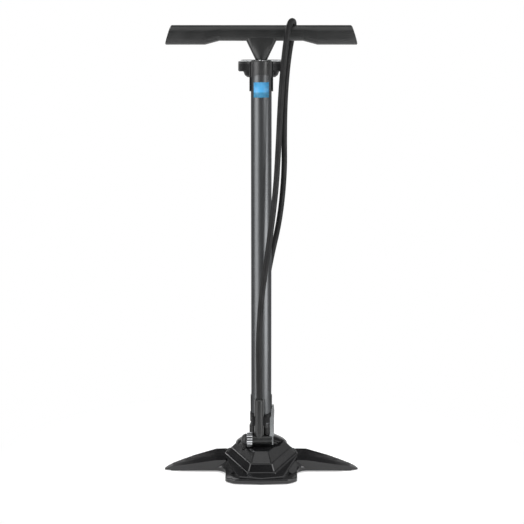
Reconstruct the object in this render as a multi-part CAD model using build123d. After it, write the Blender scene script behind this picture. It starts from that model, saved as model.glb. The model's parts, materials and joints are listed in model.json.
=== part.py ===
from build123d import *
import os
from math import pi, radians, tan

# Floor bike pump, millimetres. +Z is up, the barrel stands on the origin, the front foot points to -Y
# and the gauge stands out behind the barrel, to +Y.

# Barrel
BARREL_R = 16.0
BORE_R = 14.5
BARREL_BOTTOM = 36.0
BARREL_TOP = 640.0

# Foot
PAD = 1.5
PLATE_TOP = 8.3
PLATE_SIDE = 56.0
FRONT_RISE = 0.22
REAR_FALL = 0.36
RIDGE_Z = 29.1
TIER_STEP = 10.0
LIP_STEP = 1.3
TIER_TAPER = 32
SKIRT_TAPER = 12
ROOT_R = 18.0
BEVEL = 1.6
FOOT_WALL = 4.0
BOSS_R = 21.0
HUB_TOP = 51.5
HUB_STEP = 9.5
AIRWAY_Z = 22.0
AIRWAY_R = 2.5
BALL_R = 3.2
BALL_Z = 34.2
OUTLET = (5.0, 34.0)
PIPE = (-9.0, 21.5)
PIPE_R = 2.5
MANIFOLD_TOP = 44.0
VALVE_TOP = 46.0
VALVE_BORE_R = 2.0
VALVE_SEAT_R = 3.8
VALVE_SEAT_DEPTH = 3.0
PLUG_R = 6.0
PLUG_TOP = 16.0
PLUG_HEAD = (3.0, 6.0)
PLUG_HEAD_R = 7.0
OUTLET_HEX_R = 7.5
OUTLET_HEX_HEIGHT = 8.0
OUTLET_TOP = 58.0

# Barrel nut
NUT_R = 19.2
NUT_FOOT_R = 20.0
NUT_SHOULDER = 55.0
NUT_CHAMFER = 68.0
NUT_TOP = 73.5
NUT_FLUTES = 14
NUT_FLUTE_R = 2.4
NUT_FLUTE_DEPTH = 1.7

# Top of the barrel
CAP_R = 16.8
CAP_BOTTOM = 619.3
CAP_TOP = 645.3
CAP_ARCH = 4.5
GUIDE_BOTTOM = 618.0
BRACKET_R = 18.3
BRACKET_BOTTOM = 598.6
BRACKET_FRONT = -4.0
BRACKET_SCREW = (1.5, 629.0)
ARM_HALF_WIDTH = 12.0

# Gauge
GAUGE_Y = 58.5
GAUGE_R = 36.5
CUP_BOTTOM = 619.7
DISC_BOTTOM = 628.7
DISC_TOP = 644.5
DISH_R = 34.0
DISH_TOP = 640.5
CUP_INNER_R = 25.0
CUP_FLOOR = 623.0
LENS_R = 33.0
LENS_SEAT = 643.2
LENS_TOP = 646.9
DIAL_Z = 637.0
SPINDLE_R = 0.8

# Plunger
ROD_R = 5.0
ROD_HOLE_R = 6.5
PISTON_BOTTOM = 55.0
PISTON_TOP = 72.0
SEAL_GROOVE = (60.0, 65.0)
SEAL_GROOVE_R = 11.5
BUMPER_TOP = 84.0
STROKE = GUIDE_BOTTOM - BUMPER_TOP - 2.0
HANDLE_TOP = 698.6
HANDLE_MID_BOTTOM = 675.0
GRIP_BOTTOM = 669.2
HANDLE_HALF_TOP = 137.5
HANDLE_HALF_BOTTOM = 146.9
HANDLE_MID_HALF = 64.0
GRIP_START = 86.0
INSERT_R = 7.0
INSERT_BOTTOM = 650.0
HANDLE_MID_DEPTH = 26.0
GRIP_DEPTH = 33.0
NECK_HALF_TOP = 23.0
NECK_R_BOTTOM = 8.7
NECK_BOTTOM = 646.0
NECK_TOP = 686.0

# Chuck, docked in front of the barrel
CHUCK_Y = -29.0
CHUCK_Z = 52.8
CHUCK_R = 7.5
CHUCK_LEFT = -14.1
CHUCK_RIGHT = 17.0
STEM_X = -3.4
STEM_R = 7.5
STEM_BOTTOM = 60.4
STEM_TOP = 119.0
GROOVE_HALF = 2.1
GROOVE_DEPTH = 1.0
RING_R = 11.75
RING_LEFT = -22.8
DOCK_RIGHT = RING_LEFT - 0.5
MOUTH_R = 4.2
SLEEVE_R = 9.0
GASKET_R = 5.5
PUSHER_R = 3.0
CHUCK_AIRWAY_R = 1.8
LEVER_X = 12.5
LEVER_THICK = 7.0
LEVER_TIP = 109.5
CAM_R = 5.4
CAM_OFFSET = 1.2
PIN_R = 1.5
FIT = 0.05
FERRULE_R = 6.2
CLIP_SPAN = (76.0, 90.0)
PIPE_CLIP_SPAN = (92.0, 118.0)
RING_FLUTES = 12
RING_FLUTE_R = 4.2
RING_FLUTE_DEPTH = 0.8

# Hose: corner points of its route, from the chuck's stem over the handle to the outlet behind the foot
HOSE_R = 4.5
HOSE_ROUTE = [
    (-3.4, -29.0, 100.0),
    (-3.4, -29.0, 148.0),
    (-4.6, -28.0, 212.0),
    (0.2, -27.4, 284.0),
    (12.4, -25.6, 368.0),
    (22.4, -21.4, 448.0),
    (26.4, -18.6, 520.0),
    (29.6, -19.0, 590.0),
    (34.0, -21.0, 645.0),
    (39.6, -22.2, 688.0),
    (44.4, -12.0, 704.8),
    (50.4, 11.5, 704.8),
    (49.0, 22.0, 690.0),
    (41.6, 26.2, 648.0),
    (36.9, 28.6, 590.0),
    (35.8, 29.4, 530.0),
    (36.6, 30.2, 470.0),
    (29.6, 31.6, 396.0),
    (14.2, 33.2, 330.0),
    (3.4, 34.4, 262.0),
    (1.2, 34.6, 190.0),
    (5.0, 34.0, 124.0),
    (5.0, 34.0, 68.0),
]

UPRIGHT = (Align.CENTER, Align.CENTER, Align.MIN)


def disc(radius, bottom, top, at=(0, 0)):
    """Upright cylinder between two heights."""
    return Pos(at[0], at[1], bottom) * Cylinder(radius, top - bottom, align=UPRIGHT)


def tube(outer, inner, bottom, top, at=(0, 0)):
    """Upright ring between two heights."""
    return disc(outer, bottom, top, at) - disc(inner, bottom, top, at)


def block(low, high):
    """Box between two corners."""
    size = [b - a for a, b in zip(low, high)]
    middle = [(a + b) / 2 for a, b in zip(low, high)]
    return Pos(*middle) * Box(*size)


def along_x(radius, left, right, y, z):
    """Cylinder lying along X."""
    return Pos((left + right) / 2, y, z) * Rot(0, 90, 0) * Cylinder(radius, right - left)


def along_y(radius, front, rear, x, z):
    """Cylinder lying along Y."""
    return Pos(x, (front + rear) / 2, z) * Rot(90, 0, 0) * Cylinder(radius, rear - front)


def mirrored(points):
    """Right-hand outline points, front to rear, closed with their mirror image."""
    return points + [(-x, y) for x, y in reversed(points) if x > 0]


def below_slope(solid, height, rise):
    """Keeps what lies under a plane that has this height on the barrel axis and climbs towards +Y."""
    plane = Plane(origin=(0, 0, height), x_dir=(1, 0, 0), z_dir=(0, -rise, 1))
    return split(solid, bisect_by=plane, keep=Keep.BOTTOM)


# ---------------------------------------------------------------- foot


def wing_section(x, front, front_top, crease, crease_z, ridge, ridge_z, rear, rear_top, bottom):
    """Cross-section of a wing at one distance from the barrel, from its front wall over the footrest."""
    outline = [
        (front, bottom),
        (front, front_top),
        (crease, crease_z),
        (ridge, ridge_z),
        (rear, rear_top),
        (rear, bottom),
    ]
    return make_face(Polyline([(x, y, z) for y, z in outline], close=True))


# Distance, then front wall, crease, ridge and rear wall as (Y, height) pairs, and the lower edge's height
WING = [
    (56, -31, 19.8, -21, 24.4, 0, 29.4, 38, 13.5, 2.5),
    (72, -31, 19.4, -20, 23.6, 0, 29.0, 36, 13.5, 2.5),
    (108, -31, 14.0, -19, 16.6, -1, 18.6, 24, 10, 2.5),
    (126, -30, 11.0, -19, 12.4, -6, 13.4, 13, 8, 2),
    (141, -26.5, 8.6, -17.5, 9.4, -13, 9.7, -1, 6, PAD),
    (149, -24, 5.4, -18, 5.9, -16, 6.1, -8, 4.4, PAD),
    (154, -22, 2.6, -19.5, 2.9, -18.5, 3.0, -15, 2.6, PAD),
]
# The same with FOOT_WALL less on every side, where the wing is hollow from below
WING_POCKET = [
    (66, -28, 16.0, -18, 20.4, 0, 25.8, 36, 10.5, 0),
    (108, -28, 11.0, -17, 13.4, -1, 15.4, 20, 7, 0),
    (132, -25.5, 7.2, -17, 8.2, -9, 8.6, 4, 4.4, 0),
]
WING_GRIP_ROWS = 5


def wing():
    """Right wing, with shallow grip grooves along its footrest."""
    body = loft([wing_section(*station) for station in WING], ruled=True)
    for row in range(WING_GRIP_ROWS):
        share = (row + 1) / (WING_GRIP_ROWS + 1)
        root = Vector(76, -18.5 + 17 * share, 23.4 + 4.9 * share)
        tip = Vector(121, -17 + 10 * share, 13.4 + 1.4 * share)
        groove = Plane(origin=root, z_dir=tip - root) * Circle(0.55)
        body -= extrude(groove, (tip - root).length)
    return body


def wing_root():
    """Root of the right wing, with a round hollow that runs from its front wall to the plate's side."""
    hollow_x, hollow_y, top = PLATE_SIDE + ROOT_R, WING[0][1] - ROOT_R, 30
    widening = (top - PLATE_TOP) * tan(radians(SKIRT_TAPER))
    hollow = disc(ROOT_R, 0, PLATE_TOP, (hollow_x, hollow_y))
    flare = Cone(ROOT_R, ROOT_R + widening, top - PLATE_TOP, align=UPRIGHT)
    hollow += Pos(hollow_x, hollow_y, PLATE_TOP) * flare
    body = block((30, hollow_y - 14, WING[0][-1]), (hollow_x, 0, top)) - hollow
    body -= block((PLATE_SIDE, hollow_y - 20, 0), (hollow_x + 1, hollow_y, top))
    body = shaved(body, (PLATE_SIDE, hollow_y - 2, PLATE_TOP), (34, -84, PLATE_TOP), (47, -43, 18.5))
    return below_slope(body, 25.8, 0.21)


def wing_pocket():
    """Hollow under the right wing."""
    return loft([wing_section(*station) for station in WING_POCKET], ruled=True)


def plate():
    """Front foot plate, rounded at its two front corners and bulging a little to the front."""
    right = [(0, -95), (42, -91.5), (PLATE_SIDE, -80), (PLATE_SIDE, -30)]
    outline = Polyline(mirrored(right), close=True)
    flat = extrude(make_face(outline), PLATE_TOP - PAD)
    corners = flat.edges().filter_by(Axis.Z).filter_by_position(Axis.Y, -94, -70)
    flat = fillet(corners, 11)
    top = flat.faces().sort_by(Axis.Z)[-1]
    return Pos(0, 0, PAD) * fillet(top.edges(), 2)


SKIRT = [(0, -89.5), (34.5, -84.5), (54.5, -36), (60.5, -23), (71, -6), (64, 38), (40, 43)]


def skirt_face(inset=0.0):
    face = make_face(Polyline(mirrored(SKIRT), close=True))
    return offset(face, -inset, kind=Kind.INTERSECTION) if inset else face


def bevelled(body, width):
    """Planes off the edges and corners on the front half of a tier."""
    shavings = []
    for edge in body.edges():
        sides = [face.normal_at() for face in body.faces() if any(edge.is_same(e) for e in face.edges())]
        if edge.length < 4 or edge.center().Y > -4 or min(normal.Z for normal in sides) < -0.1:
            continue
        bend = sides[0].get_angle(sides[1])
        if bend > 25:
            normal = (sides[0] + sides[1]).normalized()
            depth = width / 2 * tan(radians(bend / 2))
            bevel = Plane(origin=edge @ 0.5 - normal * depth, x_dir=edge % 0.5, z_dir=normal)
            shavings.append(bevel * Box(edge.length + 2, 3 * width, 3, align=UPRIGHT))
    return body - shavings


def skirt():
    """Lower tier: a tapered prism under two slopes that meet in a ridge over the barrel."""
    body = extrude(skirt_face(), 26, taper=SKIRT_TAPER)
    body = Pos(0, 0, PLATE_TOP) * body
    body += Pos(0, 0, PAD) * extrude(skirt_face(), PLATE_TOP - PAD)
    body = below_slope(body, RIDGE_Z, FRONT_RISE)
    return below_slope(body, RIDGE_Z, -REAR_FALL)


def upper_tier():
    """Upper tier, with sloped sides and the same two slopes on top."""
    outline = make_face(Polyline(mirrored([(18.2, -68.3), (59, -16.3), (50, 32)]), close=True))
    body = extrude(outline, 20, taper=TIER_TAPER) + extrude(outline, -12, taper=-TIER_TAPER)
    body = Pos(0, 0, 20) * body
    body = below_slope(body, RIDGE_Z + TIER_STEP, FRONT_RISE)
    return below_slope(body, RIDGE_Z + 2.6, -REAR_FALL)


def tier_lip():
    """Low lip that runs round the foot of the upper tier."""
    outline = make_face(Polyline(mirrored([(19.6, -71.0), (62.4, -16.6), (52, 34)]), close=True))
    body = extrude(outline, 20, taper=TIER_TAPER) + extrude(outline, -12, taper=-TIER_TAPER)
    body = Pos(0, 0, 20) * body
    body = below_slope(body, RIDGE_Z + LIP_STEP, FRONT_RISE)
    return below_slope(body, RIDGE_Z + LIP_STEP, -REAR_FALL)


def front_facet():
    """Raised trapezoid on the front plane of the hub."""
    front, top = HUB_FOOT[0], HUB_SHOULDER[0]
    rise = (top[2] - front[2]) / (top[1] - front[1])
    body = extrude(make_face(Polyline(mirrored([(14.2, -63.6), (9.6, -50.0)]), close=True)), HUB_TOP)
    level = front[2] - rise * front[1] + 0.8
    return below_slope(body, level, rise) - block((-30, -95, 0), (30, 0, 20))


def shaved(body, start, end, high):
    """Cuts away what lies outside the plane through three points."""
    start, end, high = Vector(*start), Vector(*end), Vector(*high)
    normal = (end - start).cross(high - start).normalized()
    if normal.dot(start - Vector(0, 0, start.Z)) < 0:
        normal = -normal
    return body - Plane(origin=start, x_dir=end - start, z_dir=normal) * Box(300, 300, 100, align=UPRIGHT)


# Corners of the hub on the upper tier's edge, and of the flat that they rise to
HUB_FOOT = [(15.4, -63.9, 25.0), (47.4, -13.4, 36.1), (43.0, 24.0, 24.0)]
HUB_SHOULDER = [(6.5, -28.0, HUB_TOP), (30.0, -6.0, HUB_TOP)]


def hub():
    """Faceted mound on the upper tier, with the same two slopes on top, and the oval dome under the nut."""
    outline = make_face(Polyline(mirrored([(15.6, -64.0), (47.6, -13.4), (43.2, 24.4)]), close=True))
    body = Pos(0, 0, 12.6) * extrude(outline, HUB_TOP - 12.6)
    front, side, rear = HUB_FOOT
    body = shaved(body, front, (-front[0], front[1], front[2]), HUB_SHOULDER[0])
    for way in (-1, 1):
        front, side, rear, near, far = [(way * x, y, z) for x, y, z in HUB_FOOT + HUB_SHOULDER]
        body = shaved(body, front, side, near)
        body = shaved(body, side, rear, far)
    body = shaved(body, rear, (-rear[0], rear[1], rear[2]), (0, rear[1] - 8, 36))
    body = below_slope(body, RIDGE_Z + TIER_STEP + HUB_STEP, FRONT_RISE)
    body = below_slope(body, RIDGE_Z + 2.6 + HUB_STEP, -REAR_FALL)
    rings = [(41, 31, 36), (39.8, 30, 42.2), (34.6, 27.4, 46), (28, 24, 49.2), (21, 20.5, HUB_TOP)]
    return body + loft([Pos(0, 0, z) * make_face(Ellipse(a, b).edges()) for a, b, z in rings])


def manifold():
    """Rounded block at the rear of the hub that the hose outlet and the air pipe stand on."""
    left, right, rear = -15, 13, 42
    body = block((left, 14, 10), (right, rear, MANIFOLD_TOP))
    corners = body.edges().filter_by(Axis.Z).filter_by_position(Axis.Y, rear - 1, rear + 1)
    body = fillet(corners, 6)
    return chamfer(body.faces().sort_by(Axis.Z)[-1].edges().filter_by_position(Axis.Y, 20, rear + 1), 1.2)


def chuck_clearance():
    """Room in the hub for the docked chuck and for its lever."""
    room = along_x(RING_R + 1.2, RING_LEFT - 1.2, CHUCK_LEFT + 1.2, CHUCK_Y, CHUCK_Z)
    room += along_x(CHUCK_R + 1.0, CHUCK_LEFT, 20, CHUCK_Y, CHUCK_Z)
    return room + block((-2, CHUCK_Y - 8, 41), (36, CHUCK_Y + 8, 60))


def fitting_seats():
    """Flat seats and threaded holes for the fittings, and the pocket of the dock's foot."""
    seats = disc(8.4, MANIFOLD_TOP, 60, OUTLET) + disc(5.4, MANIFOLD_TOP, 60, PIPE)
    seats += disc(AIRWAY_R, AIRWAY_Z, 60, OUTLET) + disc(AIRWAY_R, AIRWAY_Z, 60, PIPE)
    seats += disc(PLUG_HEAD_R + 0.6, 0, PLUG_HEAD[1]) + disc(PLUG_R, 0, PLUG_TOP)
    seats += disc(5.0, PLUG_TOP - 1, BARREL_BOTTOM)
    return seats + dock_post()


def base():
    body = plate()
    for tier in (skirt(), tier_lip(), upper_tier(), hub()):
        body += bevelled(tier, BEVEL)
    body += front_facet() + manifold()
    right_side = wing() + wing_root()
    body += right_side
    body += mirror(right_side, about=Plane.YZ)
    hollow = extrude(skirt_face(FOOT_WALL), 24, taper=SKIRT_TAPER)
    hollow = below_slope(hollow, RIDGE_Z - FOOT_WALL, FRONT_RISE)
    hollow = below_slope(hollow, RIDGE_Z - FOOT_WALL, -REAR_FALL)
    ribs = disc(BOSS_R, 0, 40) + block((-15, 0, 0), (13, 50, 40)) + block((-90, -1.5, 0), (90, 1.5, 40))
    for turn in (35, -35):
        ribs += Rot(0, 0, turn) * block((-1.5, -100, 0), (1.5, 0, 40))
    body -= hollow - ribs
    pocket = wing_pocket()
    body -= pocket
    body -= mirror(pocket, about=Plane.YZ)
    body -= chuck_clearance()
    body -= disc(BARREL_R, BARREL_BOTTOM, 60)
    body -= fitting_seats()
    body -= along_y(AIRWAY_R, 0, 36, OUTLET[0] / 2, AIRWAY_Z)
    return body - along_x(AIRWAY_R, PIPE[0], 2, PIPE[1], AIRWAY_Z)


def rubber_feet():
    """Five flat pads under the foot."""
    feet = [Pos(0, -78, 0) * extrude(RectangleRounded(56, 14, 5), PAD)]
    for side in (-1, 1):
        feet.append(Pos(side * 137, -18, 0) * extrude(RectangleRounded(16, 12, 4), PAD))
        feet.append(Pos(side * 50, 36, 0) * extrude(RectangleRounded(18, 8, 3), PAD))
    return Compound(feet)


def barrel_nut():
    """Fluted ring that clamps the barrel to the foot."""
    outline = [
        (BARREL_R, HUB_TOP),
        (NUT_FOOT_R, HUB_TOP),
        (NUT_R, NUT_SHOULDER),
        (NUT_R, NUT_CHAMFER),
        (17.0, NUT_TOP),
        (BARREL_R, NUT_TOP),
    ]
    body = revolve(make_face(Plane.XZ * Polyline(*outline, close=True)), Axis.Z)
    flute = disc(NUT_FLUTE_R, NUT_SHOULDER + 1, NUT_TOP + 1, (NUT_R + NUT_FLUTE_R - NUT_FLUTE_DEPTH, 0))
    return body - [Rot(0, 0, 360 / NUT_FLUTES * i) * flute for i in range(NUT_FLUTES)]


def barrel():
    return tube(BARREL_R, BORE_R, BARREL_BOTTOM, BARREL_TOP)


# ---------------------------------------------------------------- check valve and air path


def valve_body():
    """Plug in the foot of the barrel, with the valve's seat on its lower side."""
    body = disc(BORE_R, BARREL_BOTTOM, VALVE_TOP)
    body -= disc(VALVE_BORE_R, BARREL_BOTTOM, VALVE_TOP + 1)
    seat = Cone(VALVE_SEAT_R, VALVE_BORE_R, VALVE_SEAT_DEPTH, align=UPRIGHT)
    return body - Pos(0, 0, BARREL_BOTTOM) * seat


def valve_ball():
    return Pos(0, 0, BALL_Z) * Sphere(BALL_R)


def valve_spring():
    """Coil spring of square wire."""
    coil = Helix(pitch=3.2, height=9.6, radius=2.6, center=(0, 0, 20.6))
    wire = Plane(origin=coil @ 0, z_dir=coil % 0) * Rectangle(0.6, 0.6)
    return sweep(wire, path=coil)


def valve_plug():
    """Hexagonal plug that closes the valve chamber from below."""
    body = disc(PLUG_R, PLUG_HEAD[1], PLUG_TOP)
    body += Pos(0, 0, PLUG_HEAD[0]) * extrude(RegularPolygon(PLUG_HEAD_R, 6), PLUG_HEAD[1] - PLUG_HEAD[0])
    return body - disc(AIRWAY_R, PLUG_TOP - 3, PLUG_TOP)


def hose_outlet():
    """Hexagonal outlet fitting, screwed into the foot behind the barrel."""
    hexagon = extrude(RegularPolygon(OUTLET_HEX_R, 6), OUTLET_HEX_HEIGHT)
    body = Pos(OUTLET[0], OUTLET[1], MANIFOLD_TOP) * hexagon
    body += disc(5.5, MANIFOLD_TOP + OUTLET_HEX_HEIGHT, OUTLET_TOP, OUTLET)
    return body - disc(AIRWAY_R, MANIFOLD_TOP, 60, OUTLET)


def hose_ferrule():
    """Crimped sleeve round the hose's lower end."""
    outline = [
        (0, OUTLET_TOP),
        (FERRULE_R, OUTLET_TOP),
        (FERRULE_R, 66),
        (FERRULE_R - 0.6, 67),
        (FERRULE_R, 68),
        (FERRULE_R, 76),
        (FERRULE_R - 0.8, 80),
        (0, 80),
    ]
    profile = make_face(Plane.XZ * Polyline(*outline, close=True))
    body = Pos(OUTLET[0], OUTLET[1], 0) * revolve(profile, Axis.Z)
    return body - disc(HOSE_R, 68, 81, OUTLET) - disc(AIRWAY_R, OUTLET_TOP - 1, 69, OUTLET)


def air_pipe():
    """Thin pipe that takes the pressure up behind the barrel to the gauge."""
    return tube(PIPE_R, PIPE_R - 1, MANIFOLD_TOP, CUP_BOTTOM - 8, PIPE)


def pipe_nut():
    body = Pos(PIPE[0], PIPE[1], MANIFOLD_TOP) * extrude(RegularPolygon(4.8, 6), 7)
    return body - disc(PIPE_R, MANIFOLD_TOP, 60, PIPE)


def pipe_clip():
    """Clip that snaps round the barrel and holds the air pipe behind it."""
    bottom, top = PIPE_CLIP_SPAN
    clip = tube(BARREL_R + 1.1, BARREL_R, bottom, top)
    clip -= block((-30, -30, bottom - 1), (30, -4, top + 1))
    clip += disc(PIPE_R + 1.7, bottom + 6, top - 6, PIPE)
    clip += block((PIPE[0] - 2, 12, bottom + 6), (PIPE[0] + 2, PIPE[1], top - 6))
    return clip - disc(BARREL_R, bottom - 1, top + 1) - disc(PIPE_R, bottom, top, PIPE)


def hose_path():
    """Straight runs joined by arcs that are as large as their runs allow."""
    points = [Vector(*p) for p in HOSE_ROUTE]
    radii = []
    for before, here, after in zip(points, points[1:], points[2:]):
        turn = radians((here - before).get_angle(after - here))
        shorter = min((here - before).length, (after - here).length)
        radii.append(0.45 * shorter / tan(turn / 2))
    print("hose radii", [round(r) for r in radii])
    return FilletPolyline(*points, radius=radii)


def hose():
    path = hose_path()
    section = Plane(origin=path @ 0, z_dir=path % 0) * Circle(HOSE_R)
    body = sweep(section, path=path)
    straight = pi * HOSE_R**2 * path.length
    print("hose length", round(path.length), "volume ratio", round(body.volume / straight, 4))
    return body


# ---------------------------------------------------------------- top of the barrel and gauge


def barrel_cap():
    """Cap over the barrel's end. Its lower edge is arched at the front."""
    body = disc(CAP_R, CAP_BOTTOM, CAP_TOP)
    body = chamfer(body.edges().sort_by(Axis.Z)[-1], 1.2)
    arch_r = (CAP_R**2 + CAP_ARCH**2) / (2 * CAP_ARCH)
    body -= along_y(arch_r, -30, 0, 0, CAP_BOTTOM + CAP_ARCH - arch_r)
    body -= disc(BARREL_R, CAP_BOTTOM - 1, BARREL_TOP)
    return body - disc(ROD_HOLE_R, BARREL_TOP - 1, CAP_TOP + 1)


def rod_guide():
    """Bush that guides the rod in the barrel's mouth."""
    body = disc(BORE_R, GUIDE_BOTTOM, BARREL_TOP)
    return body - disc(ROD_R + FIT, GUIDE_BOTTOM - 1, BARREL_TOP + 1)


def rod_wiper():
    return tube(ROD_HOLE_R, ROD_R + FIT, BARREL_TOP, CAP_TOP - 1)


def gauge_bracket():
    """Half shell behind the barrel top with an arm that carries the gauge."""
    shell = tube(BRACKET_R, BARREL_R, BRACKET_BOTTOM, CAP_TOP - 1.5)
    shell -= block((-30, -30, 590), (30, BRACKET_FRONT, 650))
    corner_y, corner_z, corner_r = BRACKET_FRONT + 5, BRACKET_BOTTOM + 5, 5
    for side in (-1, 1):
        corner = block((side * 19 - 8, BRACKET_FRONT, 590), (side * 19 + 8, corner_y, corner_z))
        shell -= corner - along_x(corner_r, side * 19 - 9, side * 19 + 9, corner_y, corner_z)
    side_view = [(15, 600), (20, 600), (48, 613), (48, CUP_BOTTOM), (15, CUP_BOTTOM)]
    outline = Polyline([(0, y, z) for y, z in side_view], close=True)
    arm = extrude(make_face(outline), ARM_HALF_WIDTH, dir=(1, 0, 0), both=True)
    body = shell + arm
    body -= disc(BARREL_R, 590, 650) + disc(CAP_R, CAP_BOTTOM, 650)
    body -= disc(PIPE_R, 590, CUP_BOTTOM - 8, PIPE)
    body -= along_x(2.4, BRACKET_R - 0.5, BRACKET_R + 2, *BRACKET_SCREW)
    return body - disc(GAUGE_R + 0.2, DISC_BOTTOM, 650, (0, GAUGE_Y))


def bracket_screw():
    """Clamp screw on the bracket's right side, with a slotted head."""
    y, z = BRACKET_SCREW
    head = along_x(2.4, BRACKET_R - 0.5, BRACKET_R + 1.2, y, z)
    return head - block((BRACKET_R + 0.5, y - 0.4, z - 3), (BRACKET_R + 2, y + 0.4, z + 3))


def around_gauge(*profile):
    """Turned part on the gauge's axis, from (radius, height) points."""
    return Pos(0, GAUGE_Y, 0) * revolve(make_face(Plane.XZ * Polyline(*profile, close=True)), Axis.Z)


def gauge_housing():
    """Cup with a wide dish on top, open upwards."""
    body = around_gauge(
        (0, CUP_BOTTOM),
        (22, CUP_BOTTOM),
        (26, CUP_BOTTOM + 3),
        (28.5, DISC_BOTTOM),
        (GAUGE_R - 1.5, DISC_BOTTOM),
        (GAUGE_R, DISC_BOTTOM + 1.5),
        (GAUGE_R, DISH_TOP),
        (DISH_R, DISH_TOP),
        (DISH_R, DIAL_Z - 1),
        (CUP_INNER_R, DIAL_Z - 1),
        (CUP_INNER_R, CUP_FLOOR),
        (0, CUP_FLOOR),
    )
    return body - disc(1.5, 610, 630, (0, GAUGE_Y - 20))


def gauge_bezel():
    """Rim that holds the lens down on the dish."""
    return around_gauge(
        (DISH_R, DISH_TOP),
        (GAUGE_R, DISH_TOP),
        (GAUGE_R, DISC_TOP - 0.8),
        (GAUGE_R - 0.8, DISC_TOP),
        (LENS_R, DISC_TOP),
        (LENS_R, LENS_SEAT),
        (DISH_R, LENS_SEAT),
    )


def gauge_lens():
    """Clear lens, stepped up inside the bezel."""
    return around_gauge(
        (0, LENS_SEAT + 0.2),
        (30.5, LENS_SEAT - 0.2),
        (30.5, LENS_SEAT - 2),
        (DISH_R, LENS_SEAT - 2),
        (DISH_R, LENS_SEAT),
        (LENS_R, LENS_SEAT),
        (LENS_R, LENS_TOP - 1.2),
        (LENS_R - 1.5, LENS_TOP),
        (0, LENS_TOP),
    )


def gauge_dial():
    return tube(33.6, 1.4, DIAL_Z - 1, DIAL_Z, (0, GAUGE_Y))


def gauge_spindle():
    return disc(SPINDLE_R, DIAL_Z - 5, DIAL_Z + 3.6, (0, GAUGE_Y))


def gauge_needle():
    """Pointer with a tail and a round boss that turns on the spindle."""
    blade = Polyline((-2.0, -9), (2.0, -9), (0.5, 27), (-0.5, 27), close=True)
    flat = extrude(make_face(blade), 0.8) + Cylinder(3.6, 2.0, align=UPRIGHT)
    flat -= Cylinder(SPINDLE_R + FIT, 10)
    return Pos(0, GAUGE_Y, DIAL_Z + 1.2) * Rot(0, 0, -45) * flat


def gauge_movement():
    """Movement that the spindle turns in."""
    body = Pos(4, GAUGE_Y, CUP_FLOOR) * extrude(RectangleRounded(22, 16, 2), 9)
    return body - disc(SPINDLE_R, 620, 640, (0, GAUGE_Y))


def bourdon_tube():
    """Curved flat tube inside the gauge, which the pressure unbends."""
    ring = tube(21, 18.5, 625, 631, (0, GAUGE_Y))
    return ring - block((-30, GAUGE_Y - 12, 620), (0, GAUGE_Y + 2, 640))


# ---------------------------------------------------------------- plunger


def piston_rod():
    return disc(ROD_R, PISTON_BOTTOM - 8, HANDLE_MID_BOTTOM + 8)


def piston():
    body = disc(BORE_R - 0.4, PISTON_BOTTOM, PISTON_TOP)
    body -= tube(BORE_R, SEAL_GROOVE_R, *SEAL_GROOVE)
    return body - disc(ROD_R, 50, 80)


def piston_seal():
    return tube(BORE_R - FIT, SEAL_GROOVE_R, *SEAL_GROOVE)


def piston_washer():
    return tube(10, ROD_R, PISTON_BOTTOM - 1.5, PISTON_BOTTOM)


def piston_nut():
    body = Pos(0, 0, PISTON_BOTTOM - 7) * extrude(RegularPolygon(9, 6), 5.5)
    return body - disc(ROD_R, 40, 60)


def rod_bumper():
    body = tube(11.5, ROD_R, PISTON_TOP, BUMPER_TOP)
    return chamfer(body.edges().filter_by(GeomType.CIRCLE).sort_by(SortBy.RADIUS)[-2:], 2)


def handle_insert():
    """Steel bush moulded into the handle's neck, which the rod screws into."""
    return tube(INSERT_R, ROD_R, INSERT_BOTTOM, HANDLE_MID_BOTTOM + 8)


def handle_section(x, depth, bottom):
    height = HANDLE_TOP - bottom
    face = RectangleRounded(depth, height, 0.46 * min(depth, height))
    return Plane(origin=(x, 0, bottom + height / 2), x_dir=(0, 1, 0), z_dir=(1, 0, 0)) * face


def handle():
    """T-handle: slim in the middle, deeper grips with slanted ends, and a funnel-shaped neck."""
    stations = [
        (-150, GRIP_DEPTH, GRIP_BOTTOM),
        (-GRIP_START, GRIP_DEPTH, GRIP_BOTTOM),
        (-HANDLE_MID_HALF, HANDLE_MID_DEPTH, HANDLE_MID_BOTTOM),
        (HANDLE_MID_HALF, HANDLE_MID_DEPTH, HANDLE_MID_BOTTOM),
        (GRIP_START, GRIP_DEPTH, GRIP_BOTTOM),
        (150, GRIP_DEPTH, GRIP_BOTTOM),
    ]
    body = loft([handle_section(*station) for station in stations], ruled=True)
    lean = (HANDLE_HALF_BOTTOM - HANDLE_HALF_TOP) / (HANDLE_TOP - GRIP_BOTTOM)
    for side in (-1, 1):
        corner = (side * HANDLE_HALF_BOTTOM, 0, GRIP_BOTTOM)
        end = Plane(origin=corner, x_dir=(0, 1, 0), z_dir=(side, 0, lean))
        body = split(body, bisect_by=end, keep=Keep.BOTTOM)
        rim = body.faces().sort_by(Axis.X)[-1 if side > 0 else 0]
        body = chamfer(rim.edges(), 1.2)
    flare = (NECK_HALF_TOP - NECK_R_BOTTOM) / (HANDLE_MID_BOTTOM - NECK_BOTTOM)
    top_half = NECK_HALF_TOP + flare * (NECK_TOP - HANDLE_MID_BOTTOM)
    top = Pos(0, 0, NECK_TOP) * RectangleRounded(2 * top_half, HANDLE_MID_DEPTH - 3, 9)
    foot = Pos(0, 0, NECK_BOTTOM) * Circle(NECK_R_BOTTOM)
    body += loft([foot, top])
    return body - disc(INSERT_R, INSERT_BOTTOM, HANDLE_MID_BOTTOM + 8) - disc(ROD_R, 640, 660)


# ---------------------------------------------------------------- chuck


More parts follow.
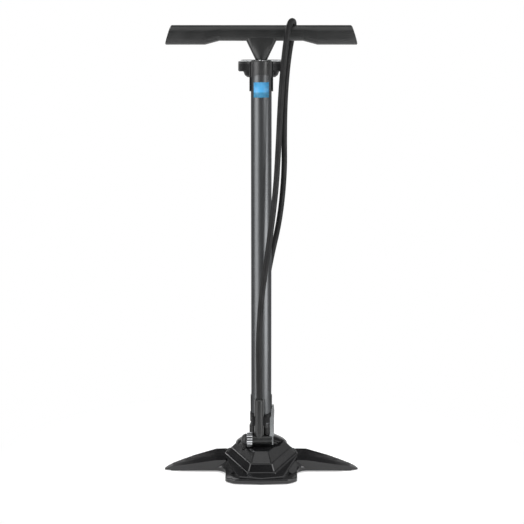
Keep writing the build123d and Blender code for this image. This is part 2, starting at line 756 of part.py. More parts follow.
def chuck_body():
    """Cross body: mouth to the left, forked to the right for the lever."""
    body = along_x(CHUCK_R, CHUCK_LEFT, CHUCK_RIGHT, CHUCK_Y, CHUCK_Z)
    body = chamfer(body.edges().sort_by(Axis.X)[-1], 1.0)
    body += along_x(SLEEVE_R, RING_LEFT + 3, CHUCK_LEFT, CHUCK_Y, CHUCK_Z)
    body += disc(6.5, CHUCK_Z, STEM_BOTTOM, (STEM_X, CHUCK_Y))
    body -= along_x(GASKET_R, RING_LEFT, CHUCK_LEFT + 2, CHUCK_Y, CHUCK_Z)
    body -= along_x(PUSHER_R, CHUCK_LEFT, 20, CHUCK_Y, CHUCK_Z)
    slot = block((4, CHUCK_Y - LEVER_THICK / 2 - 0.2, 40), (20, CHUCK_Y + LEVER_THICK / 2 + 0.2, 64))
    body -= slot
    body -= disc(CHUCK_AIRWAY_R, CHUCK_Z, 64, (STEM_X, CHUCK_Y))
    return body - along_y(PIN_R, CHUCK_Y - 10, CHUCK_Y + 10, LEVER_X, CHUCK_Z)


def chuck_ring():
    """Scalloped ring that holds the rubber in the chuck's mouth."""
    body = along_x(RING_R, RING_LEFT, CHUCK_LEFT, CHUCK_Y, CHUCK_Z)
    body = chamfer(body.edges(), 0.8)
    body -= along_x(SLEEVE_R, RING_LEFT + 3, CHUCK_LEFT + 1, CHUCK_Y, CHUCK_Z)
    body -= along_x(MOUTH_R, RING_LEFT - 1, RING_LEFT + 4, CHUCK_Y, CHUCK_Z)
    centre = Pos((RING_LEFT + CHUCK_LEFT) / 2, CHUCK_Y, CHUCK_Z) * Rot(0, 90, 0)
    flute = Pos(RING_R + RING_FLUTE_R - RING_FLUTE_DEPTH, 0, 0) * Cylinder(RING_FLUTE_R, 12)
    return body - [centre * Rot(0, 0, 360 / RING_FLUTES * (i + 0.5)) * flute for i in range(RING_FLUTES)]


def chuck_gasket():
    body = along_x(GASKET_R, RING_LEFT + 3, CHUCK_LEFT + 2, CHUCK_Y, CHUCK_Z)
    return body - along_x(MOUTH_R - 0.4, RING_LEFT, CHUCK_LEFT + 3, CHUCK_Y, CHUCK_Z)


def chuck_plunger():
    """Pusher between the gasket and the lever's cam."""
    left, right = CHUCK_LEFT + 2.5, LEVER_X - CAM_R - CAM_OFFSET - 0.5
    return along_x(PUSHER_R - FIT, left, right, CHUCK_Y, CHUCK_Z)


def lever_profile():
    """Outline of the lever in the XZ plane, from its foot round to the finger tab."""
    foot = [(17.3, 50), (17.3, 45.2), (18.8, 45.2), (18.8, 58)]
    right = [(20.2, 62), (20.2, 90), (20.6, 101), (19.6, LEVER_TIP)]
    left = [(17.4, LEVER_TIP), (15.8, 101), (15.6, 92), (13.7, 89), (13.7, 63)]
    return Polyline(foot + right + left + [(LEVER_X, 58), (LEVER_X, 50)], close=True)


def chuck_lever():
    """Thumb lever, a channel with a finger tab and a round cam at its pivot."""
    body = extrude(make_face(Plane.XZ * lever_profile()), LEVER_THICK / 2, both=True)
    body -= block((10, -LEVER_THICK / 2 + 1.3, 61), (18.4, LEVER_THICK / 2 - 1.3, 88))
    body += along_y(CAM_R, -LEVER_THICK / 2, LEVER_THICK / 2, LEVER_X - CAM_OFFSET, CHUCK_Z)
    body -= along_y(PIN_R + FIT, -10, 10, LEVER_X, CHUCK_Z)
    body -= along_y(1.2, -10, 10, 18.2, LEVER_TIP - 4.5)
    return Pos(0, CHUCK_Y, 0) * body


def lever_pin():
    return along_y(PIN_R, CHUCK_Y - 7.2, CHUCK_Y + 7.2, LEVER_X, CHUCK_Z)


def chuck_stem():
    """Stem that the hose is crimped into, with a groove down its front and back."""
    body = disc(STEM_R, STEM_BOTTOM, STEM_TOP, (STEM_X, CHUCK_Y))
    body = chamfer(body.edges().sort_by(Axis.Z)[-1], 1.5)
    groove = Box(2 * GROOVE_HALF, 2 * GROOVE_DEPTH, 50)
    for side in (-1, 1):
        body -= Pos(STEM_X, CHUCK_Y + side * (STEM_R + 0.2), 89) * groove
    body -= disc(HOSE_R, HOSE_ROUTE[0][2], STEM_TOP + 1, (STEM_X, CHUCK_Y))
    return body - disc(CHUCK_AIRWAY_R, 60, 101, (STEM_X, CHUCK_Y))


def chuck_clip():
    """Spring clip on the barrel that holds the stem."""
    bottom, top = CLIP_SPAN
    clip = tube(BARREL_R + 2, BARREL_R, bottom, top) - block((-30, 4, bottom - 1), (30, 30, top + 1))
    jaw = tube(STEM_R + 3.6, STEM_R + 0.2, bottom, top, (STEM_X, CHUCK_Y))
    jaw -= block((STEM_X - 15, CHUCK_Y - 20, bottom - 1), (STEM_X + 15, CHUCK_Y - 2.5, top + 1))
    jaw += block((STEM_X - 8, -22, bottom), (STEM_X + 8, -16, top))
    clip += jaw
    clip -= disc(BARREL_R, bottom - 1, top + 1)
    return clip - disc(STEM_R + 0.2, bottom - 1, top + 1, (STEM_X, CHUCK_Y))


def dock_post():
    """Slim post behind the dock's nose."""
    return block((DOCK_RIGHT - 6, CHUCK_Y + 2, 34), (DOCK_RIGHT, CHUCK_Y + 8, CHUCK_Z - 4))


def chuck_dock():
    """Round nose on the foot with a peg that the chuck's mouth is pushed onto."""
    outline = [(0, 0), (0, 9.6), (-2.6, 9.4), (-5.0, 8.2), (-6.8, 6.4), (-7.8, 4.0), (-8.2, 0)]
    profile = make_face(Polyline([(DOCK_RIGHT + x, 0, r) for x, r in outline], close=True))
    nose = Pos(0, CHUCK_Y, CHUCK_Z) * revolve(profile, Axis.X)
    return nose + dock_post() + along_x(MOUTH_R - 0.7, DOCK_RIGHT, CHUCK_LEFT, CHUCK_Y, CHUCK_Z)


FOOT = [base, rubber_feet, barrel_nut, barrel, valve_body, valve_ball, valve_spring, valve_plug]
HOSE_SIDE = [hose_outlet, hose_ferrule, air_pipe, pipe_nut, pipe_clip, hose]
BARREL_HEAD = [barrel_cap, rod_guide, rod_wiper, gauge_bracket, bracket_screw]
GAUGE = [gauge_housing, gauge_bezel, gauge_lens, gauge_dial, gauge_spindle, gauge_needle]
GAUGE_WORKS = [gauge_movement, bourdon_tube]
PLUNGER = [piston_rod, piston, piston_seal, piston_washer, piston_nut, rod_bumper, handle_insert, handle]
CHUCK = [chuck_body, chuck_ring, chuck_gasket, chuck_plunger, chuck_lever, lever_pin, chuck_stem]
HOLDERS = [chuck_clip, chuck_dock]

os.makedirs("parts", exist_ok=True)
for maker in FOOT + HOSE_SIDE + BARREL_HEAD + GAUGE + GAUGE_WORKS + PLUNGER + CHUCK + HOLDERS:
    export_step(maker(), f"parts/{maker.__name__}.step")
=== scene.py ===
import json
import math

import bmesh
import bpy
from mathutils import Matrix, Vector


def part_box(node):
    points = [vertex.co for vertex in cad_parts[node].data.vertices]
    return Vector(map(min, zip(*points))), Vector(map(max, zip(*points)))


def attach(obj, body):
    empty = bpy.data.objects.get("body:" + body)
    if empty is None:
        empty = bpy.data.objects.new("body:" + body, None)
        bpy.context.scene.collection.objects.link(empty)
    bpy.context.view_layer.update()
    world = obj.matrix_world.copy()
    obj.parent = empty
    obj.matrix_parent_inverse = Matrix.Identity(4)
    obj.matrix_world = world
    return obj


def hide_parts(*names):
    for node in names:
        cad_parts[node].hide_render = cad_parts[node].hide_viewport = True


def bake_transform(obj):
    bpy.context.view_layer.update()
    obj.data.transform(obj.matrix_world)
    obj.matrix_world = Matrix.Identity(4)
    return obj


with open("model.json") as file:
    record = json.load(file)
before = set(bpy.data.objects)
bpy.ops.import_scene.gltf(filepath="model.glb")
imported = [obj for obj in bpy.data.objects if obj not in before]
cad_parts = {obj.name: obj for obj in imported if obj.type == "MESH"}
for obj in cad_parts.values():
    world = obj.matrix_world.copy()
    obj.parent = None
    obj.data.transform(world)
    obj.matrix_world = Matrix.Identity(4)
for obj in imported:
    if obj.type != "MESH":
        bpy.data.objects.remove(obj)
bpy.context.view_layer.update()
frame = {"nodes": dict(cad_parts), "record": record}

MM = 0.001
SCENE = bpy.context.scene

# The hose's route in millimetres, from the chuck's stem over the handle to the outlet. It is the route in the
# part's source, with the long front run bowed out a little further to the front
HOSE_ROUTE = [
    (-3.4, -29.0, 100.0),
    (-3.4, -29.0, 148.0),
    (-4.6, -28.0, 212.0),
    (0.2, -27.4, 284.0),
    (12.4, -31.0, 368.0),
    (22.4, -32.2, 448.0),
    (26.4, -31.4, 520.0),
    (29.6, -28.4, 590.0),
    (34.0, -26.2, 645.0),
    (39.6, -24.2, 688.0),
    (44.4, -12.0, 704.8),
    (50.4, 11.5, 704.8),
    (49.0, 22.0, 690.0),
    (41.6, 26.2, 648.0),
    (36.9, 28.6, 590.0),
    (35.8, 29.4, 530.0),
    (36.6, 30.2, 470.0),
    (29.6, 31.6, 396.0),
    (14.2, 33.2, 330.0),
    (3.4, 34.4, 262.0),
    (1.2, 34.6, 190.0),
    (5.0, 34.0, 124.0),
    (5.0, 34.0, 68.0),
]
HOSE_RADIUS = 4.5 * MM
HOSE_SIDES = 28
HOSE_RESOLUTION = 24


# ---------------------------------------------------------------- materials

# The label's heights in millimetres below the barrel's top, its size in millimetres and its two colours
LABEL_HIGH = 27.5
LABEL_SPLIT = 42.8
LABEL_SPLIT_SOFT = 0.25
LABEL_LOW = 50.6
LABEL_HALF_WIDTH = 11.65
LABEL_THICK = 0.12
LABEL_COLUMNS = 32
LABEL_BLUE = (0.055, 0.30, 0.57)
LABEL_BAND_BLUE = (0.026, 0.185, 0.335)

# The part of a noise texture's range that most of its surface falls in
NOISE_LOW = 0.3
NOISE_HIGH = 0.7


class Material:
    """A principled material with helpers that add procedural detail in the object's own space."""

    def __init__(self, name, color, roughness, metallic=0.0, **sockets):
        self.data = bpy.data.materials.new(name)
        self.data.use_nodes = True
        self.tree = self.data.node_tree
        self.shader = self.tree.nodes["Principled BSDF"]
        self.color = color
        self.set("Base Color", (*color, 1))
        self.set("Roughness", roughness)
        self.set("Metallic", metallic)
        for socket, value in sockets.items():
            self.set(socket.replace("_", " "), value)
        self.coords = self.node("ShaderNodeTexCoord")

    def set(self, socket, value):
        self.shader.inputs[socket].default_value = value

    def node(self, kind, **values):
        made = self.tree.nodes.new(kind)
        for key, value in values.items():
            setattr(made, key, value)
        return made

    def link(self, output, target):
        self.tree.links.new(output, target)

    def noise(self, scale, stretch=(1, 1, 1), detail=3.0):
        """Noise whose scale is in cells per metre, stretched along an axis where stretch is under 1."""
        mapping = self.node("ShaderNodeMapping")
        mapping.inputs["Scale"].default_value = stretch
        self.link(self.coords.outputs["Object"], mapping.inputs["Vector"])
        noise = self.node("ShaderNodeTexNoise")
        noise.inputs["Scale"].default_value = scale
        noise.inputs["Detail"].default_value = detail
        self.link(mapping.outputs["Vector"], noise.inputs["Vector"])
        return noise.outputs["Fac"]

    def ranged(self, value, low, high):
        """Maps the middle of a noise's range onto low to high."""
        node = self.node("ShaderNodeMapRange")
        node.inputs["From Min"].default_value = NOISE_LOW
        node.inputs["From Max"].default_value = NOISE_HIGH
        node.inputs["To Min"].default_value = low
        node.inputs["To Max"].default_value = high
        self.link(value, node.inputs["Value"])
        return node.outputs["Result"]

    def bump(self, value, strength, depth):
        """Bump of this depth in metres. Later calls stack on earlier ones."""
        node = self.node("ShaderNodeBump")
        node.inputs["Strength"].default_value = strength
        node.inputs["Distance"].default_value = depth
        self.link(value, node.inputs["Height"])
        target = self.shader.inputs["Normal"]
        if target.is_linked:
            self.link(target.links[0].from_socket, node.inputs["Normal"])
        self.link(node.outputs["Normal"], target)

    def rough(self, value, low, high):
        self.link(self.ranged(value, low, high), self.shader.inputs["Roughness"])

    def tint(self, value, other):
        """Base colour that goes from the material's own colour to another with the value."""
        mix = self.node("ShaderNodeMix", data_type="RGBA")
        mix.inputs["A"].default_value = (*self.color, 1)
        mix.inputs["B"].default_value = (*other, 1)
        self.link(self.ranged(value, 0, 1), mix.inputs["Factor"])
        self.link(mix.outputs["Result"], self.shader.inputs["Base Color"])


def gloss_black():
    """Foot: gloss black powder coat with a faint orange peel and a little dust in patches."""
    m = Material("foot_paint", (0.005, 0.005, 0.0054), 0.19, Specular_IOR_Level=0.5)
    m.bump(m.noise(420), 0.2, 0.0001)
    m.rough(m.noise(55), 0.14, 0.23)
    m.tint(m.noise(30), (0.008, 0.008, 0.0085))
    return m.data


def gunmetal():
    """Barrel: satin metallic paint with fine flakes, brushed a little along its length."""
    m = Material("gunmetal", (0.09, 0.093, 0.096), 0.3, 0.9, Specular_Tint=(0.4, 0.4, 0.41, 1))
    m.rough(m.noise(700, (1, 1, 0.02)), 0.33, 0.40)
    m.tint(m.noise(2600), (0.108, 0.111, 0.115))
    m.bump(m.noise(1800), 0.08, 0.00004)
    return m.data


def moulded_plastic(name, color, roughness, grain=1500, strength=0.35, level=0.4):
    """Injection-moulded plastic with a fine spark-eroded grain."""
    m = Material(name, color, roughness, Specular_IOR_Level=level)
    m.bump(m.noise(grain), strength, 0.00008)
    m.rough(m.noise(60), roughness - 0.05, roughness + 0.07)
    m.tint(m.noise(25), tuple(c * 1.25 for c in color))
    return m.data


def rubber(name, color, roughness):
    m = Material(name, color, roughness, Specular_IOR_Level=0.35)
    m.bump(m.noise(900), 0.3, 0.0001)
    m.tint(m.noise(80), tuple(c * 1.5 for c in color))
    return m.data


def hose_rubber():
    """Extruded rubber: fine lines along the hose and a dry, slightly dusty skin."""
    m = Material("hose_rubber", (0.008, 0.008, 0.0083), 0.6, Specular_IOR_Level=0.2)
    m.bump(m.noise(1400, (1, 1, 0.05)), 0.3, 0.00008)
    m.rough(m.noise(140, (1, 1, 0.3)), 0.52, 0.7)
    m.tint(m.noise(45), (0.013, 0.013, 0.0134))
    return m.data


def metal(name, color, roughness, stretch=(1, 1, 1)):
    """Bare or plated metal with fine scratches and a faint haze."""
    m = Material(name, color, roughness, 1.0)
    m.rough(m.noise(500, stretch), roughness * 0.8, roughness * 1.35)
    m.bump(m.noise(1600, stretch), 0.06, 0.00004)
    m.tint(m.noise(120), tuple(c * 0.86 for c in color))
    return m.data


def clear_plastic():
    m = Material("clear", (0.96, 0.98, 0.99), 0.04, Transmission_Weight=1.0, IOR=1.45)
    m.rough(m.noise(200), 0.02, 0.07)
    return m.data


def plain_print(name, color, roughness=0.45):
    m = Material(name, color, roughness)
    m.bump(m.noise(1200), 0.12, 0.00003)
    m.rough(m.noise(90), roughness - 0.06, roughness + 0.06)
    return m.data


def label_blue(split_height, soft):
    """Bare label: blue, with a deeper blue band across its foot."""
    m = Material("label_blue", LABEL_BLUE, 0.38)
    position = m.node("ShaderNodeSeparateXYZ")
    m.link(m.coords.outputs["Object"], position.inputs["Vector"])
    step = m.node("ShaderNodeMapRange")
    step.inputs["From Min"].default_value = split_height - soft
    step.inputs["From Max"].default_value = split_height + soft
    m.link(position.outputs["Z"], step.inputs["Value"])
    mix = m.node("ShaderNodeMix", data_type="RGBA")
    mix.inputs["A"].default_value = (*LABEL_BAND_BLUE, 1)
    mix.inputs["B"].default_value = (*LABEL_BLUE, 1)
    m.link(step.outputs["Result"], mix.inputs["Factor"])
    m.link(mix.outputs["Result"], m.shader.inputs["Base Color"])
    m.rough(m.noise(150), 0.32, 0.46)
    return m.data


def make_materials():
    barrel_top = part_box("barrel")[1].z
    return {
        "foot_paint": gloss_black(),
        "gunmetal": gunmetal(),
        "black_plastic": moulded_plastic("black_plastic", (0.01, 0.01, 0.0105), 0.4),
        "handle_grey": moulded_plastic("handle_grey", (0.010, 0.0103, 0.0103), 0.36, 1300, level=0.45),
        "chuck_grey": moulded_plastic("chuck_grey", (0.013, 0.0135, 0.0135), 0.32, level=0.45),
        "cap_black": moulded_plastic("cap_black", (0.011, 0.011, 0.0115), 0.4, level=0.6),
        "deep_black": moulded_plastic("deep_black", (0.005, 0.005, 0.0053), 0.5, level=0.2),
        "white_plastic": moulded_plastic("white_plastic", (0.6, 0.6, 0.57), 0.45),
        "rubber": rubber("rubber", (0.02, 0.02, 0.02), 0.65),
        "hose_rubber": hose_rubber(),
        "brass": metal("brass", (0.6, 0.42, 0.16), 0.3),
        "steel": metal("steel", (0.5, 0.5, 0.5), 0.32),
        "dark_steel": metal("dark_steel", (0.05, 0.05, 0.052), 0.35),
        "chrome": metal("chrome", (0.62, 0.63, 0.65), 0.14),
        "silver": metal("silver", (0.27, 0.28, 0.285), 0.3, (1, 1, 0.2)),
        "clear": clear_plastic(),
        "dial_face": plain_print("dial_face", (0.78, 0.79, 0.79)),
        "needle_red": plain_print("needle_red", (0.6, 0.03, 0.02), 0.35),
        "print_black": plain_print("print_black", (0.015, 0.015, 0.016)),
        "label_blue": label_blue(barrel_top - LABEL_SPLIT * MM, LABEL_SPLIT_SOFT * MM),
    }


# Nodes whose surface differs from the rest of their material slot. For the chuck clip the darker surface is
# partly painted shade
FINISHES = {
    "lever_pin": "dark_steel",
    "bracket_screw": "dark_steel",
    "barrel_cap": "cap_black",
    "gauge_housing": "deep_black",
    "gauge_bracket": "deep_black",
    # The chuck clip's deep black is partly its own near-black plastic and partly painted shade for the shadow
    # beside the chuck's stem
    "chuck_clip": "deep_black",
}


def paint_cad_nodes(materials):
    for entry in frame["record"]["subparts"]:
        node = frame["nodes"].get(entry["node"])
        if node is not None:
            finish = FINISHES.get(entry["node"], entry["material_slot"])
            node.data.materials.clear()
            node.data.materials.append(materials[finish])


# ---------------------------------------------------------------- mesh helpers


def mesh_object(name, mesh, material, smooth=True):
    piece = bpy.data.objects.new(name, mesh)
    SCENE.collection.objects.link(piece)
    mesh.materials.append(material)
    for polygon in mesh.polygons:
        polygon.use_smooth = smooth
    return piece


def spline_points(name, points, resolution):
    """Points read from a NURBS spline that has these control points."""
    curve = bpy.data.curves.new(name, "CURVE")
    curve.dimensions = "3D"
    curve.resolution_u = resolution
    spline = curve.splines.new("NURBS")
    spline.points.add(len(points) - 1)
    for target, point in zip(spline.points, points):
        target.co = (*point, 1)
    spline.order_u = 3
    spline.use_endpoint_u = True
    holder = bpy.data.objects.new(name, curve)
    line = bpy.data.meshes.new_from_object(holder)
    route = [v.co.copy() for v in line.vertices]
    bpy.data.objects.remove(holder)
    bpy.data.meshes.remove(line)
    return route


def tube_mesh(name, route, radius, sides):
    """Closed tube round a route, with rings that don't twist."""
    tangents = [(b - a).normalized() for a, b in zip(route, route[1:])]
    tangents = [tangents[0]] + [(a + b).normalized() for a, b in zip(tangents, tangents[1:])] + [tangents[-1]]
    side = tangents[0].orthogonal().normalized()
    vertices = []
    for point, tangent in zip(route, tangents):
        side = (side - tangent * side.dot(tangent)).normalized()
        other = tangent.cross(side)
        for i in range(sides):
            angle = 2 * math.pi * i / sides
            vertices.append(point + radius * (math.cos(angle) * side + math.sin(angle) * other))
    faces = []
    for ring in range(len(route) - 1):
        for i in range(sides):
            a = ring * sides + i
            b = ring * sides + (i + 1) % sides
            faces.append((a, b, b + sides, a + sides))
    last = (len(route) - 1) * sides
    faces.append(tuple(reversed(range(sides))))
    faces.append(tuple(range(last, last + sides)))
    mesh = bpy.data.meshes.new(name)
    mesh.from_pydata(vertices, [], faces)
    return mesh


# ---------------------------------------------------------------- hose


def make_hose(materials):
    points = [Vector(p) * MM for p in reversed(HOSE_ROUTE)]
    route = spline_points("hose_route", points, HOSE_RESOLUTION)
    mesh = tube_mesh("hose_skin", route, HOSE_RADIUS, HOSE_SIDES)
    hose = mesh_object("hose_skin", mesh, materials["hose_rubber"])
    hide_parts("hose")
    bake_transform(hose)


# ---------------------------------------------------------------- label and dial


def make_label(materials):
    """Thin printed patch, curved round the front of the barrel."""
    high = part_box("barrel")[1]
    radius = high.x + LABEL_THICK * MM
    half_angle = math.asin(LABEL_HALF_WIDTH * MM / radius)
    bottom, top = high.z - LABEL_LOW * MM, high.z - LABEL_HIGH * MM
    bm = bmesh.new()
    rows = []
    for z in (bottom, top):
        row = []
        for i in range(LABEL_COLUMNS + 1):
            angle = -math.pi / 2 - half_angle + 2 * half_angle * i / LABEL_COLUMNS
            row.append(bm.verts.new((radius * math.cos(angle), radius * math.sin(angle), z)))
        rows.append(row)
    for i in range(LABEL_COLUMNS):
        bm.faces.new((rows[0][i], rows[0][i + 1], rows[1][i + 1], rows[1][i]))
    mesh = bpy.data.meshes.new("label")
    bm.to_mesh(mesh)
    label = mesh_object("label", mesh, materials["label_blue"])
    thick = label.modifiers.new("thickness", "SOLIDIFY")
    thick.thickness = LABEL_THICK * MM
    thick.offset = -1
    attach(label, "stand")


DIAL_SWEEP = math.radians(270)
DIAL_START = math.radians(45)
DIAL_STEPS = 44
DIAL_STEPS_PER_NUMBER = 4
DIAL_NUMBERS = 12
DIAL_RADIUS = 29.5 * MM
PRINT_THICK = 0.06 * MM

# Lengths and widths in millimetres, measured inwards or outwards from the dial's radius
LONG_STROKE = (4.2, 0.7)
SHORT_STROKE = (2.2, 0.35)
BAND_FROM_NUMBER = 6
BAND_INNER = 0.7
BAND_OUTER = 2.2
RING_INSIDE = (11.4, 11.0)
NUMBER_INSIDE = 7.2
NUMBER_SIZE = 5.4
ARC_STEPS = 24


def flat_piece(name, outlines, height, material):
    """Thin printed shapes that lie flat at one height."""
    bm = bmesh.new()
    for outline in outlines:
        bm.faces.new([bm.verts.new((x, y, height)) for x, y in outline])
    bmesh.ops.recalc_face_normals(bm, faces=bm.faces)
    top = bmesh.ops.extrude_face_region(bm, geom=bm.faces[:])
    moved = [g for g in top["geom"] if isinstance(g, bmesh.types.BMVert)]
    bmesh.ops.translate(bm, verts=moved, vec=(0, 0, PRINT_THICK))
    mesh = bpy.data.meshes.new(name)
    bm.to_mesh(mesh)
    return mesh_object(name, mesh, material, smooth=False)


def on_dial(centre, radius, turn):
    """Point on the dial. The needle points at turn 0 at rest and goes clockwise, seen from above."""
    angle = math.pi / 2 - DIAL_START - turn
    return Vector((centre.x + radius * math.cos(angle), centre.y + radius * math.sin(angle)))


def dial_bar(centre, inner, outer, turn, width):
    """Corners of a straight stroke along a radius."""
    low, high = on_dial(centre, inner, turn), on_dial(centre, outer, turn)
    side = (high - low).orthogonal().normalized() * width / 2
    return [low - side, low + side, high + side, high - side]


def dial_arc(centre, inner, outer, start, end):
    """Corners of a band between two turns."""
    turns = [start + (end - start) * i / ARC_STEPS for i in range(ARC_STEPS + 1)]
    near = [on_dial(centre, inner, t) for t in turns]
    far = [on_dial(centre, outer, t) for t in reversed(turns)]
    return near + far


def make_dial_print(materials):
    """Scale, generic numbers and a coloured band for the working pressures."""
    low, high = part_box("gauge_dial")
    centre = (low + high) / 2
    height = high.z + 0.02 * MM
    strokes = []
    for i in range(DIAL_STEPS + 1):
        turn = DIAL_SWEEP * i / DIAL_STEPS
        length, width = SHORT_STROKE if i % DIAL_STEPS_PER_NUMBER else LONG_STROKE
        strokes.append(dial_bar(centre, DIAL_RADIUS - length * MM, DIAL_RADIUS, turn, width * MM))
    scale = flat_piece("dial_scale", strokes, height, materials["print_black"])
    band_start = DIAL_SWEEP * BAND_FROM_NUMBER / (DIAL_NUMBERS - 1)
    band_inner, band_outer = DIAL_RADIUS + BAND_INNER * MM, DIAL_RADIUS + BAND_OUTER * MM
    band = [dial_arc(centre, band_inner, band_outer, band_start, DIAL_SWEEP)]
    limit = flat_piece("dial_band", band, height, materials["needle_red"])
    ring_inner, ring_outer = (DIAL_RADIUS - inside * MM for inside in RING_INSIDE)
    ring = [dial_arc(centre, ring_inner, ring_outer, 0, DIAL_SWEEP)]
    inner_ring = flat_piece("dial_inner_ring", ring, height, materials["label_blue"])
    for piece in (scale, limit, inner_ring):
        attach(piece, "stand")
    for i in range(DIAL_NUMBERS):
        text = bpy.data.curves.new(f"dial_number_{i}", "FONT")
        text.body = str(i)
        text.size = NUMBER_SIZE * MM
        text.align_x = "CENTER"
        text.align_y = "CENTER"
        text.extrude = PRINT_THICK / 2
        text.resolution_u = 3
        holder = bpy.data.objects.new(text.name, text)
        mesh = bpy.data.meshes.new_from_object(holder)
        bpy.data.objects.remove(holder)
        turn = DIAL_SWEEP * i / (DIAL_NUMBERS - 1)
        x, y = on_dial(centre, DIAL_RADIUS - NUMBER_INSIDE * MM, turn)
        for vertex in mesh.vertices:
            vertex.co = Vector((x - vertex.co.x, y - vertex.co.y, height + vertex.co.z + PRINT_THICK / 2))
        number = mesh_object(f"dial_number_{i}", mesh, materials["print_black"], smooth=False)
        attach(number, "stand")


# ---------------------------------------------------------------- stage

FLOOR_HALF = 6.0
FLOOR_COLOR = 0.75
FLOOR_GLOW = 0.38
FLOOR_FADE = (0.24, 0.45)
STUDIO_DIM = 0.3
BACKDROP_FADE = (0.3, 0.85)
SKY_WHITE_BELOW = math.sin(math.radians(9))
SKY_DARK_ABOVE = math.sin(math.radians(34))
SKY_TOP = 0.10
AMBIENT = 0.35

# Softboxes. The front ones have degrees from straight in front, width and radiance. The others have a place,
# the point they shine at, width, height and radiance
FRONT_BOXES = (("front_left", -55, 0.34, 3.6), ("front_right", 54.5, 0.27, 5.2))
FRONT_DISTANCE = 0.46
FRONT_HEIGHT = 0.9
FRONT_FLOOR_GAP = 0.005
FOOT_FRONT = (0, -0.05, 0.03)
OTHER_BOXES = (
    ("overhead", (0, -0.45, 1.9), (0, -0.45, 0), 1.3, 1.7, 1.4),
    ("rear_left", (-0.86, 0.93, 1.16), FOOT_FRONT, 0.30, 0.42, 11.0),
    ("rear_right", (1.26, 0.58, 1.08), FOOT_FRONT, 0.9, 1.1, 0.65),
    ("side_left", (-1.04, 0.52, 1.25), FOOT_FRONT, 0.5, 0.5, 0.5),
)

CAMERA_AT = (1.1 * MM, -1.920, 0.637)
CAMERA_TILT = 81
CAMERA_LENS = 85
CAMERA_SENSOR = 36


class StageShader:
    """Node tree of the floor or the world."""

    def __init__(self, owner):
        owner.use_nodes = True
        self.tree = owner.node_tree
        self.tree.nodes.clear()
        self.rays = self.tree.nodes.new("ShaderNodeLightPath")

    def calculate(self, operation, first, second, clamp=False):
        node = self.tree.nodes.new("ShaderNodeMath")
        node.operation = operation
        node.use_clamp = clamp
        self.tree.links.new(first, node.inputs[0])
        self.tree.links.new(second, node.inputs[1])
        return node.outputs[0]

    def seen_rays(self):
        """1 for camera, glossy and transmission rays, which see the backdrop, and 0 for all others."""
        total = self.rays.outputs["Is Camera Ray"]
        for name in ("Is Glossy Ray", "Is Transmission Ray"):
            total = self.calculate("ADD", total, self.rays.outputs[name], clamp=True)
        return total

    def fall(self, value, start, end, low, high):
        node = self.tree.nodes.new("ShaderNodeMapRange")
        node.interpolation_type = "SMOOTHSTEP"
        for name, number in (("From Min", start), ("From Max", end), ("To Min", low), ("To Max", high)):
            node.inputs[name].default_value = number
        self.tree.links.new(value, node.inputs["Value"])
        return node.outputs["Result"]

    def coordinates(self, kind):
        source = self.tree.nodes.new("ShaderNodeTexCoord")
        split = self.tree.nodes.new("ShaderNodeSeparateXYZ")
        self.tree.links.new(source.outputs[kind], split.inputs[0])
        return source.outputs[kind], split.outputs

    def backdrop(self, facing):
        """1 towards the backdrop. The sides and front are darker, which only reflections show."""
        towards = self.fall(facing, *BACKDROP_FADE, STUDIO_DIM, 1.0)
        return self.calculate("MAXIMUM", towards, self.rays.outputs["Is Camera Ray"])

    def mix(self, factor, first, second):
        node = self.tree.nodes.new("ShaderNodeMixShader")
        self.tree.links.new(factor, node.inputs[0])
        self.tree.links.new(first, node.inputs[1])
        self.tree.links.new(second, node.inputs[2])
        return node.outputs[0]

    def glow(self, kind, strength):
        node = self.tree.nodes.new(kind)
        node.inputs["Color"].default_value = (1, 1, 1, 1)
        if isinstance(strength, float):
            node.inputs["Strength"].default_value = strength
        else:
            self.tree.links.new(strength, node.inputs["Strength"])
        return node.outputs[0]

    def finish(self, kind, shader):
        out = self.tree.nodes.new(kind)
        self.tree.links.new(shader, out.inputs["Surface"])


def make_floor():
    """Pale floor with the object's shadow, which goes over into plain white further off."""
    mesh = bpy.data.meshes.new("floor")
    h = FLOOR_HALF
    mesh.from_pydata([(-h, -h, 0), (h, -h, 0), (h, h, 0), (-h, h, 0)], [], [(0, 1, 2, 3)])
    material = bpy.data.materials.new("floor")
    floor = StageShader(material)
    diffuse = floor.tree.nodes.new("ShaderNodeBsdfDiffuse")
    diffuse.inputs["Color"].default_value = (FLOOR_COLOR, FLOOR_COLOR, FLOOR_COLOR, 1)
    both = floor.tree.nodes.new("ShaderNodeAddShader")
    floor.tree.links.new(diffuse.outputs[0], both.inputs[0])
    floor.tree.links.new(floor.glow("ShaderNodeEmission", FLOOR_GLOW), both.inputs[1])
    position, axes = floor.coordinates("Object")
    distance = floor.tree.nodes.new("ShaderNodeVectorMath")
    distance.operation = "LENGTH"
    floor.tree.links.new(position, distance.inputs[0])
    facing = floor.calculate("DIVIDE", axes["Y"], distance.outputs["Value"])
    far = floor.glow("ShaderNodeEmission", floor.backdrop(facing))
    fade = floor.fall(distance.outputs["Value"], *FLOOR_FADE, 0, 1)
    seen = floor.mix(fade, both.outputs[0], far)
    floor.finish("ShaderNodeOutputMaterial", floor.mix(floor.seen_rays(), diffuse.outputs[0], seen))
    mesh_object("floor", mesh, material, smooth=False)


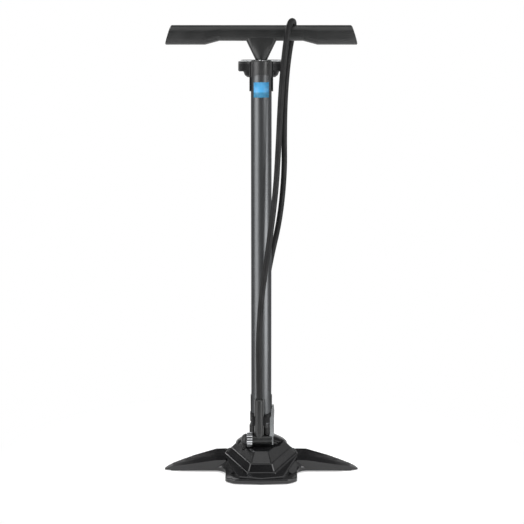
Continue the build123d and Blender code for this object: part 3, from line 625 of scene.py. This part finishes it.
def make_world():
    """White backdrop that falls off to a dark ceiling, and an even weak light."""
    world = bpy.data.worlds.new("studio")
    SCENE.world = world
    sky = StageShader(world)
    axes = sky.coordinates("Generated")[1]
    height = sky.fall(axes["Z"], SKY_WHITE_BELOW, SKY_DARK_ABOVE, 1.0, SKY_TOP)
    strength = sky.calculate("MULTIPLY", height, sky.backdrop(axes["Y"]))
    backdrop = sky.glow("ShaderNodeBackground", strength)
    light = sky.glow("ShaderNodeBackground", AMBIENT)
    sky.finish("ShaderNodeOutputWorld", sky.mix(sky.seen_rays(), light, backdrop))


def area_light(name, at, target, width, height, radiance):
    """Softbox that shines at a target, as bright as a surface of this radiance."""
    data = bpy.data.lights.new(name, "AREA")
    data.shape = "RECTANGLE"
    data.size = width
    data.size_y = height
    data.energy = radiance * math.pi * width * height
    light = bpy.data.objects.new(name, data)
    SCENE.collection.objects.link(light)
    light.location = at
    direction = Vector(target) - Vector(at)
    light.rotation_euler = direction.to_track_quat("-Z", "Y").to_euler()
    light.visible_camera = False


def make_lights():
    """Two tall softboxes in front, a wide one overhead and three behind that draw the foot's edges."""
    for name, degrees, width, radiance in FRONT_BOXES:
        angle = math.radians(degrees)
        x, y = FRONT_DISTANCE * math.sin(angle), -FRONT_DISTANCE * math.cos(angle)
        z = FRONT_HEIGHT / 2 + FRONT_FLOOR_GAP
        area_light(name, (x, y, z), (0, 0, z), width, FRONT_HEIGHT, radiance)
    for box in OTHER_BOXES:
        area_light(*box)


def make_camera():
    data = bpy.data.cameras.new("camera")
    data.lens = CAMERA_LENS
    data.sensor_width = CAMERA_SENSOR
    camera = bpy.data.objects.new("camera", data)
    SCENE.collection.objects.link(camera)
    camera.location = CAMERA_AT
    camera.rotation_euler = (math.radians(CAMERA_TILT), 0, 0)
    SCENE.camera = camera


SCENE.view_settings.view_transform = "Standard"
MATERIALS = make_materials()
make_camera()
make_world()
make_lights()
make_floor()
paint_cad_nodes(MATERIALS)
make_hose(MATERIALS)
make_label(MATERIALS)
make_dial_print(MATERIALS)
